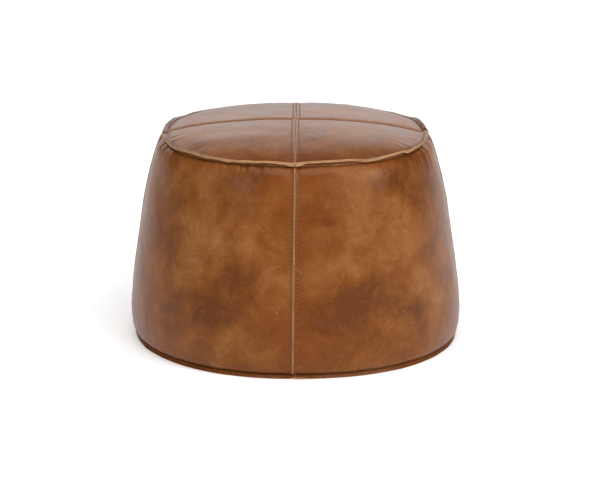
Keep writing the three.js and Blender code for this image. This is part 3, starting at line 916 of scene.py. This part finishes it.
def side_panel(quarter, start):
    """A quarter of the side, from one vertical seam to the next, with its lips at the rim and the base."""
    name = QUARTERS[quarter]
    radius = side_section(SIDE_ROWS)[0]
    widths = radius * math.pi / 2
    grids = []
    for edge, face in ((INNER_EDGE, 0), (SKIN_EDGE, 1)):
        across = across_panel(widths, edge)
        near = np.minimum(across, widths[:, None] - across)
        angle = start + across / radius[:, None]
        rows = SIDE_ROWS[:, None] + 0 * angle
        body = side_place(angle, rows, inner_drop(near) if face == 0 else 0.0)
        upper = [ring_point(*rim_lip(angle[0], reach, -1, face), angle[0]) for reach in LIP_REACHES]
        lower = [ring_point(*base_lip(angle[-1], reach, 1, face), angle[-1]) for reach in LIP_REACHES[::-1]]
        grids.append(np.concatenate([upper, body, lower]))
    inner, outer = grids
    inner = settle_creases(inner, len(LIP_REACHES), 5)
    looks = [leather(f"side_leather_{name}", HIDE_SHIFTS[quarter]), CUT_EDGE]
    made = slab(f"side_leather_{name}", outer, inner, looks)
    lips = np.zeros((len(LIP_REACHES), outer.shape[1]))
    # Painted shade: darker in the base's crease and a little towards the base, in the rim's crease, in the
    # grooves under the stitching, and on both lips.
    shade = 0.75 * np.exp(-(((SIDE_LENGTH - rows) / 4.5) ** 2)) + 0.10 * np.exp(-(SIDE_LENGTH - rows) / 25)
    shade = np.maximum(np.maximum(shade, 0.55 * np.exp(-rows / 3)), 0.22 * bell(near - ROW_OFFSET, 1.3))
    store_on_both(made, "seam_tone", np.concatenate([lips + 0.7, seam_tone_at(near, rows), lips + 1]))
    store_on_both(made, "shade", np.concatenate([lips + 0.2, shade, lips + 0.12]))
    weather = weathering(angle, rows)
    store_on_both(made, "weather", np.concatenate([lips, weather, lips]))
    return made


# Patches where the dye is rubbed paler (above 0) or has stayed darker (below 0):
# angle in degrees, height and half size in mm, and strength
WEATHERED = [
    (280, 258, 40, -1.1),
    (246, 292, 34, -0.7),
    (217, 285, 34, 0.6),
    (217, 212, 40, -0.5),
    (239, 222, 42, 0.9),
    (240, 128, 50, -0.9),
    (262, 112, 44, 0.4),
    (248, 52, 36, 0.8),
    (216, 105, 30, 0.5),
    (296, 270, 40, 0.4),
    (317, 285, 32, -0.5),
    (312, 205, 42, 0.8),
    (283, 172, 36, 0.3),
    (292, 110, 52, -0.8),
    (327, 120, 38, 0.5),
    (306, 52, 32, 0.5),
    (20, 230, 50, 0.7),
    (48, 120, 60, -0.8),
    (75, 220, 45, 0.6),
    (112, 130, 55, 0.7),
    (140, 250, 50, -0.7),
    (165, 110, 50, 0.6),
]


def weathering(angle, down):
    """How much paler or darker than the rest the leather is, at points of the side."""
    radius, height, _, _ = side_section(down)
    place = point_at(radius, angle, height)
    place = place + 14 * np.stack([smooth_noise(place, 26, seed) for seed in (81, 82, 83)], axis=-1)
    place = place + 5 * np.stack([smooth_noise(place, 9, seed) for seed in (84, 85, 86)], axis=-1)
    total = 0
    for patch_angle, patch_height, size, strength in WEATHERED:
        patch_angle = math.radians(patch_angle)
        patch_radius = np.interp(-patch_height, -SIDE_CURVE[:, 1], SIDE_CURVE[:, 0])
        middle = point_at(patch_radius, patch_angle, patch_height)
        total = total + strength * bell(np.linalg.norm(place - middle, axis=-1), size)
    return total


def inner_drop(distance):
    """How far the leather's hidden face lies below its grain face, by its distance from a seam."""
    return -LEATHER + (LEATHER + 0.1) * bell(distance - INNER_EDGE, 1.5)


def settle_creases(grid, lip_rows, reach):
    """Keeps the hidden face from folding over itself in the creases, by running it straight across them."""
    for crease in (lip_rows, grid.shape[0] - lip_rows - 1):
        first, last = crease - 1, crease + reach
        if crease > grid.shape[0] / 2:
            first, last = crease - reach, crease + 1
        share = np.linspace(0, 1, last - first + 1)[:, None, None]
        grid[first:last + 1] = grid[first] * (1 - share) + grid[last] * share
    return grid


def seam_tone_at(distance, down):
    """1 beside a seam and 0 in a panel's middle."""
    beside_foot = 0.5 * np.exp(-(SIDE_LENGTH - down) / 30)
    beside_rim = 0.35 * np.exp(-down / 20)
    return np.clip(np.exp(-distance / 44) + beside_foot + beside_rim, 0, 1)


DOME_SHIFTS = [(6.1, 2.2, 0.9), (2.7, 7.4, 5.1), (8.3, 0.6, 4.2), (5.5, 6.3, 7.7)]
DOME_REACHES = np.concatenate([np.linspace(0, 0.9, 58), np.linspace(0.912, 0.988, 9), [0.995, 1.0]])


def top_panel(quarter, start):
    """A quarter of the top, from its corner in the middle out to its lip at the rim."""
    name = QUARTERS[quarter]
    rim = DOME_EDGE[0]
    grids = []
    for edge, face in ((INNER_EDGE, 0), (SKIN_EDGE, 1)):
        angle = across_panel(np.array([rim * math.pi / 2]), edge)[0] / rim
        target = ring_point(rim, DOME_EDGE[1], angle)[..., :2]
        corner = np.array([edge, edge])
        flat = corner + DOME_REACHES[:, None, None] * (target - corner)
        x, y = flat[..., 0], flat[..., 1]
        near = np.minimum(x, y)
        turned_x = x * math.cos(start) - y * math.sin(start)
        turned_y = x * math.sin(start) + y * math.cos(start)
        body = dome_place(turned_x, turned_y, inner_drop(near) if face == 0 else 0.0)
        place = angle + start
        lip = [ring_point(*rim_lip(place, reach, 1, face), place) for reach in LIP_REACHES[::-1]]
        grids.append(np.concatenate([body, lip]))
    inner, outer = grids
    looks = [leather(f"top_leather_{name}", DOME_SHIFTS[quarter]), CUT_EDGE]
    made = slab(f"top_leather_{name}", outer, inner, looks)
    lips = np.zeros((len(LIP_REACHES), outer.shape[1]))
    reaches = DOME_REACHES[:, None] + 0 * near
    tone = np.clip(0.8 * np.exp(-near / 25) + 0.8 * reaches**8, 0, 1)
    # Painted shade: darker in the rim's crease, in the grooves under the stitching and on the rim lip's upper
    # face.
    shade = np.maximum(0.6 * np.exp(-(1 - reaches) * DOME_EDGE[0] / 3), 0.18 * bell(near - ROW_OFFSET, 1.3))
    store_on_both(made, "seam_tone", np.concatenate([tone, lips + 0.6]))
    store_on_both(made, "shade", np.concatenate([shade, lips + 0.4]))
    return made


simulate_cover()

for quarter in range(4):
    start = SEAM_ANGLES[quarter]
    side = side_panel(quarter, start)
    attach(side, "cover")
    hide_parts(f"side_panel_{QUARTERS[quarter]}")
    top = top_panel(quarter, start)
    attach(top, "cover")
    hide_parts(f"top_panel_{QUARTERS[quarter]}")


# ---- the wadding behind the side panels ----

SLEEVE_DEPTH = 3.9
SLEEVE_THICKNESS = 9.0
SLEEVE_ROWS = 70
SLEEVE_COLUMNS = 240


def wadding_sleeve():
    """A ring of fibre wadding that takes the leather's shape."""
    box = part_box("fibre_sleeve")
    top, bottom = box[1][2] / MM, box[0][2] / MM
    first, last = np.interp([-top, -bottom], -SIDE_CURVE[:, 1], SIDE_REACH)
    round_steps = np.linspace(0, 2 * math.pi, SLEEVE_COLUMNS + 1)[:-1]
    down, angle = np.meshgrid(np.linspace(first, last, SLEEVE_ROWS), round_steps, indexing="ij")
    fluff = smooth_noise(side_place(angle, down), 9, 61)
    outer = side_place(angle, down, -SLEEVE_DEPTH - 0.5 - 0.5 * fluff)
    inner = side_place(angle, down, -SLEEVE_DEPTH - SLEEVE_THICKNESS)
    rows, columns = outer.shape[:2]
    i, j = np.meshgrid(np.arange(rows - 1), np.arange(columns), indexing="ij")
    after = (j + 1) % columns
    above, below = i * columns, (i + 1) * columns
    wall = np.stack([above + j, below + j, below + after, above + after], axis=-1).reshape(-1, 4)
    size = rows * columns
    j = np.arange(columns)
    after = (j + 1) % columns
    lid = np.stack([j, after, after + size, j + size], axis=-1)
    floor = lid + (rows - 1) * columns
    faces = np.concatenate([wall, wall[:, ::-1] + size, lid, floor[:, ::-1]])
    vertices = np.concatenate([outer.reshape(-1, 3), inner.reshape(-1, 3)])
    made = new_object("wadding_sleeve", vertices, faces.tolist(), [wadding()])
    keep_outward(made)
    return made


sleeve = wadding_sleeve()
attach(sleeve, "cover")
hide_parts("fibre_sleeve")

# ---- the base panels ----

BASE_SHIFTS = [(9.4, 3.8, 6.6), (1.9, 8.1, 4.7)]
BASE_COLUMNS = 200
BASE_REACHES = np.concatenate([[0, 0.006, 0.014, 0.024], np.linspace(0.04, 0.96, 44), [0.975, 0.988, 1.0]])
ZIP_WINDOW_END = 195
ZIP_WINDOW_EDGE = 7
ZIP_ROWS = [10.0, 14.0]  # from the zip's middle to each row of stitching


def base_relief(points, zip_distance, from_rim):
    """How far the base hangs below its plain place, between the zip and the rim."""
    sag = 1.7 * step(zip_distance, 4, 60) * step(from_rim, 0, 45) + 0.5 * bell(from_rim, 30)
    dents = 0.9 * smooth_noise(points, 70, 71) + 0.35 * smooth_noise(points, 24, 72)
    calm = step(zip_distance, 6, 30) * step(from_rim, 0, 10)
    grooves = -0.3 * sum(bell(zip_distance + ZIP_WINDOW_EDGE - row, 0.8) for row in ZIP_ROWS)
    return sag + dents * calm + grooves


def base_height(x, y, lift=0.0):
    """The height of the base panels' lower face above the floor, lowered by lift."""
    beyond = np.maximum(np.abs(x) - ZIP_WINDOW_END, 0)
    zip_distance = np.maximum(np.hypot(np.maximum(np.abs(y) - ZIP_WINDOW_EDGE, 0), beyond), 0)
    crease = base_lip(np.zeros(1), 0, -1, 1)[0][0]
    from_rim = np.clip(crease - np.hypot(x, y), 0, None)
    points = np.stack([x, y, 0 * x], axis=-1)
    return BASE_PANEL_HEIGHT - base_relief(points, zip_distance, from_rim) - lift


def base_panel(side, name, shift):
    """Half of the base, from the zip to the lip. side is 1 for the rear half and -1 for the front one."""
    share = np.linspace(0.0015, 0.9985, BASE_COLUMNS)
    angle = side * math.pi * share
    grids = []
    for face in (1, 0):
        radius, _ = base_lip(angle, 0, -1, face)
        rim = ring_point(radius, 0, angle)[..., :2]
        zip_x = rim[:, 0] * 0.999
        closed = step(np.abs(zip_x), ZIP_WINDOW_END - 2, ZIP_WINDOW_END + 3)
        zip_y = GAP / 2 + (ZIP_WINDOW_EDGE - GAP / 2) * (1 - closed)
        zip_edge = np.stack([zip_x, side * zip_y], axis=-1)
        flat = zip_edge + BASE_REACHES[:, None, None] * (rim - zip_edge)
        height = base_height(flat[..., 0], flat[..., 1]) + LEATHER * (1 - face)
        body = np.concatenate([flat, height[..., None]], axis=-1)
        lip = [ring_point(*base_lip(angle, reach, -1, face), angle) for reach in LIP_REACHES[::-1][1:]]
        grids.append(np.concatenate([body, lip]))
    looks = [leather(f"base_leather_{name}", shift), CUT_EDGE]
    made = slab(f"base_leather_{name}", grids[0], grids[1], looks)
    lips = np.ones((len(LIP_REACHES) - 1, BASE_COLUMNS))
    body = np.broadcast_to(BASE_REACHES[:, None] ** 6, (len(BASE_REACHES), BASE_COLUMNS))
    store_on_both(made, "seam_tone", np.concatenate([body, lips]))
    # Painted shade: the base darkens towards its rim and on its lip.
    store_on_both(made, "shade", np.concatenate([0.35 * body + 0.1, 0.3 * lips]))
    return made


for side, name, shift in ((1, "rear", BASE_SHIFTS[0]), (-1, "front", BASE_SHIFTS[1])):
    half = base_panel(side, name, shift)
    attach(half, "cover")
    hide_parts(f"base_panel_{name}")

# ---- the zip's coils ----

COIL_PITCH = 2.0
COIL_WIRE = 0.34
COIL_STEPS = 14
COIL_OVERLAP = 0.75  # how far each row reaches past the zip's middle
COIL_ROOM = 0.1


def zip_coil(name, side):
    """One row of the zip's teeth: a flattened coil of wire, whose turns lie between the other row's."""
    low, high = (np.array(corner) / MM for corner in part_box(name))
    turns = int((high[0] - low[0] - 2 * COIL_WIRE) / COIL_PITCH)
    t = np.arange(turns * COIL_STEPS + 1) / COIL_STEPS * 2 * math.pi
    middle = (low[2] + high[2]) / 2
    reach = (max(abs(low[1]), abs(high[1])) + COIL_OVERLAP) / 2
    stagger = COIL_PITCH / 2 if side == 1 else 0
    x = low[0] + COIL_WIRE + COIL_PITCH * (t / (2 * math.pi)) + stagger
    y = side * (reach - COIL_OVERLAP - (reach - COIL_WIRE) * np.cos(t))
    z = middle + ((high[2] - low[2]) / 2 - COIL_WIRE - COIL_ROOM) * np.sin(t)
    line = np.stack([x, y, z], axis=-1)[None, : turns * COIL_STEPS - COIL_STEPS // 2]
    made = tubes(name.replace("teeth", "coil"), line, COIL_WIRE, LOOKS["zip_teeth"])
    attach(made, "cover")
    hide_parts(name)


# ---- the vertical seams' allowances, folded into the rim lip ----

SEAM_NAMES = ["right", "rear", "left", "front"]
FLAP_START = 0.2
FLAP_WIDTH = 13.6
FLAP_COLUMNS = 14
FLAP_REACHES = np.linspace(0.2, 0.97, 7)


def seam_flap(seam, side):
    """A vertical seam's allowance on one side of it, between the rim lip's two layers."""
    across = np.linspace(FLAP_START, FLAP_WIDTH, FLAP_COLUMNS)
    angle = SEAM_ANGLES[seam] + side * across / RIM_SEAM[0]
    lower, upper = [], []
    for reach in FLAP_REACHES:
        room = GAP / 2 + rim_dip(angle, reach)
        lower.append(ring_point(*rim_point(angle, reach, 0.08 - room), angle))
        upper.append(ring_point(*rim_point(angle, reach, 0 * angle), angle))
    hand = "left" if side == 1 else "right"
    name = f"seam_allowance_{SEAM_NAMES[seam]}_{hand}"
    return slab(name, np.array(lower), np.array(upper), [CUT_EDGE, CUT_EDGE])


for seam in range(4):
    for side in (-1, 1):
        flap = seam_flap(seam, side)
        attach(flap, "cover")


# ---- the stitching ----


def stitch_starts(first, last):
    count = int((last - first) / STITCH_PITCH)
    return first + STITCH_PITCH * np.arange(count)


STITCH_SHARES = np.linspace(0, 1, 7)
STITCH_LIFTS = np.array([-0.9, 0.0, 0.42, 0.5, 0.42, 0.0, -0.9])


def side_stitches(seam, side):
    starts = stitch_starts(7, SIDE_LENGTH - 6)
    down = starts[:, None] + STITCH_LENGTH * STITCH_SHARES
    angle = SEAM_ANGLES[seam] + side * ROW_OFFSET / side_section(down)[0]
    return side_place(angle, down, STITCH_LIFTS)


def top_stitches(seam, side):
    starts = stitch_starts(6.5, RIM_SEAM[0] - 8)
    out = starts[:, None] + STITCH_LENGTH * STITCH_SHARES
    cos, sin = math.cos(SEAM_ANGLES[seam]), math.sin(SEAM_ANGLES[seam])
    return dome_place(out * cos - side * ROW_OFFSET * sin, out * sin + side * ROW_OFFSET * cos, STITCH_LIFTS)


def lip_stitches(lip, layer, reach, radius):
    count = round(2 * math.pi * radius / STITCH_PITCH)
    starts = np.arange(count) / count * 2 * math.pi
    angle = starts[:, None] + STITCH_LENGTH / radius * STITCH_SHARES
    face = 1 + STITCH_LIFTS / LEATHER
    return ring_point(*lip(angle, reach, layer, face), angle)


for seam, side_name in enumerate(SEAM_NAMES):
    lines = np.concatenate([side_stitches(seam, -1), side_stitches(seam, 1)])
    rows = tubes(f"side_stitching_{side_name}", lines, THREAD, THREAD_LOOK)
    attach(rows, "cover")
    lines = np.concatenate([top_stitches(seam, -1), top_stitches(seam, 1)])
    rows = tubes(f"top_stitching_{side_name}", lines, THREAD, THREAD_LOOK)
    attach(rows, "cover")

for name, lip, layer, reach, radius in (
    ("rim_stitching_upper", rim_lip, 1, 0.22, RIM_SEAM[0]),
    ("rim_stitching_lower", rim_lip, -1, 0.3, RIM_SEAM[0]),
    ("base_stitching_outer", base_lip, 1, 0.35, BASE_LIP_FOOT_RADIUS),
    ("base_stitching_inner", base_lip, -1, 0.35, BASE_LIP_FOOT_RADIUS),
):
    rows = tubes(name, lip_stitches(lip, layer, reach, radius), THREAD, THREAD_LOOK)
    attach(rows, "cover")


def zip_stitches(row):
    """A row of stitching round the zip's window, row mm from the zip's middle."""
    half_length = ZIP_WINDOW_END + row - ZIP_WINDOW_EDGE
    lines = []
    for side in (-1, 1):
        starts = stitch_starts(-half_length, half_length)
        x = starts[:, None] + STITCH_LENGTH * STITCH_SHARES
        y = np.full_like(x, side * row)
        lines.append(np.stack([x, y, base_height(x, y, STITCH_LIFTS)], axis=-1))
    return np.concatenate(lines)


for row_name, row in zip(("inner", "outer"), ZIP_ROWS):
    rows = tubes(f"zip_stitching_{row_name}", zip_stitches(row), THREAD, THREAD_LOOK)
    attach(rows, "cover")

# ---- what stays as the CAD made it ----

LOOKS = {
    "backing_leather": suede("backing_strip_suede"),
    "fibre_wadding": wadding(),
    "foam": foam(),
    "zip_tape": woven("zip_tape_weave", (0.030, 0.016, 0.009), (0.085, 0.050, 0.030)),
    "zip_teeth": coil_plastic(),
    "zip_metal": aged_brass(),
    "leather": leather("base_leather", BASE_SHIFTS[0]),
}
BEVEL_WIDTH = 0.22 * MM
zip_coil("zip_teeth_rear", 1)
zip_coil("zip_teeth_front", -1)
for part in frame["record"]["subparts"]:
    node = NODES[part["node"]]
    node.data.materials.clear()
    node.data.materials.append(LOOKS[part["material_slot"]])
    if part["material_slot"] == "zip_metal":
        bevel = node.modifiers.new("worn_edges", "BEVEL")
        bevel.width = BEVEL_WIDTH
        bevel.segments = 2
        bevel.limit_method = "ANGLE"
        bevel.angle_limit = math.radians(40)


# ---- the studio ----

FLOOR_SIZE = 40.0
WALL_LIGHT = 1.0
CEILING_LIGHT = 0.12


def studio():
    bpy.ops.mesh.primitive_plane_add(size=FLOOR_SIZE, location=(0, 0, 0))
    floor = bpy.context.object
    floor.name = "studio_floor"
    floor.data.materials.append(studio_floor())
    n = Nodes("studio_walls", bpy.data.worlds, "Generated")
    bpy.context.scene.world = n.owner
    direction = n.node("ShaderNodeSeparateXYZ", {0: n.coords}).outputs
    rearward = n.span(direction["Y"], 0.76, 0.97)
    low_down = n.math("SUBTRACT", 1, n.span(direction["Z"], 0.3, 0.7))
    walls = n.times(rearward, low_down)
    background = n.tree.nodes["Background"]
    background.inputs["Color"].default_value = (1, 1, 1, 1)
    n.link(n.add(n.times(walls, WALL_LIGHT), CEILING_LIGHT), background.inputs["Strength"])


def softbox(name, place, target, size, power):
    data = bpy.data.lights.new(name, "AREA")
    data.shape = "RECTANGLE"
    data.size, data.size_y = size
    data.energy = power
    lamp = bpy.data.objects.new(name, data)
    lamp.location = place
    lamp.rotation_euler = (Vector(target) - Vector(place)).to_track_quat("-Z", "Y").to_euler()
    bpy.context.scene.collection.objects.link(lamp)


def ceiling_light():
    """The ceiling's soft light, which falls on all of the floor alike."""
    data = bpy.data.lights.new("ceiling_light", "SUN")
    data.energy = 2.4
    data.angle = math.radians(60)
    lamp = bpy.data.objects.new("ceiling_light", data)
    lamp.rotation_euler = Vector((0.08, -0.40, 1)).to_track_quat("Z", "Y").to_euler()
    bpy.context.scene.collection.objects.link(lamp)


def camera():
    data = bpy.data.cameras.new("camera")
    data.lens = 155.5
    data.sensor_width = 36
    made = bpy.data.objects.new("camera", data)
    made.location = (0.0075, -4.051, 1.3025)
    made.rotation_euler = (math.radians(90 - 15.89), 0, 0)
    bpy.context.scene.collection.objects.link(made)
    bpy.context.scene.camera = made


studio()
ceiling_light()
softbox("right_softbox", (3.0, -1.9, 1.9), (0, 0, 0.15), (1.6, 1.4), 60)
softbox("left_softbox", (-3.2, -1.5, 1.7), (0, 0, 0.15), (1.4, 1.2), 15)
softbox("front_left_softbox", (-1.7, -2.7, 1.35), (0, 0, 0.25), (0.7, 0.5), 11)
softbox("front_right_softbox", (1.35, -2.9, 1.35), (0, 0, 0.25), (0.6, 0.5), 8)
softbox("rear_softbox", (0, 3.6, 1.55), (0, 0, 0.3), (4.0, 0.8), 16)
camera()
bpy.context.scene.view_settings.view_transform = "Standard"
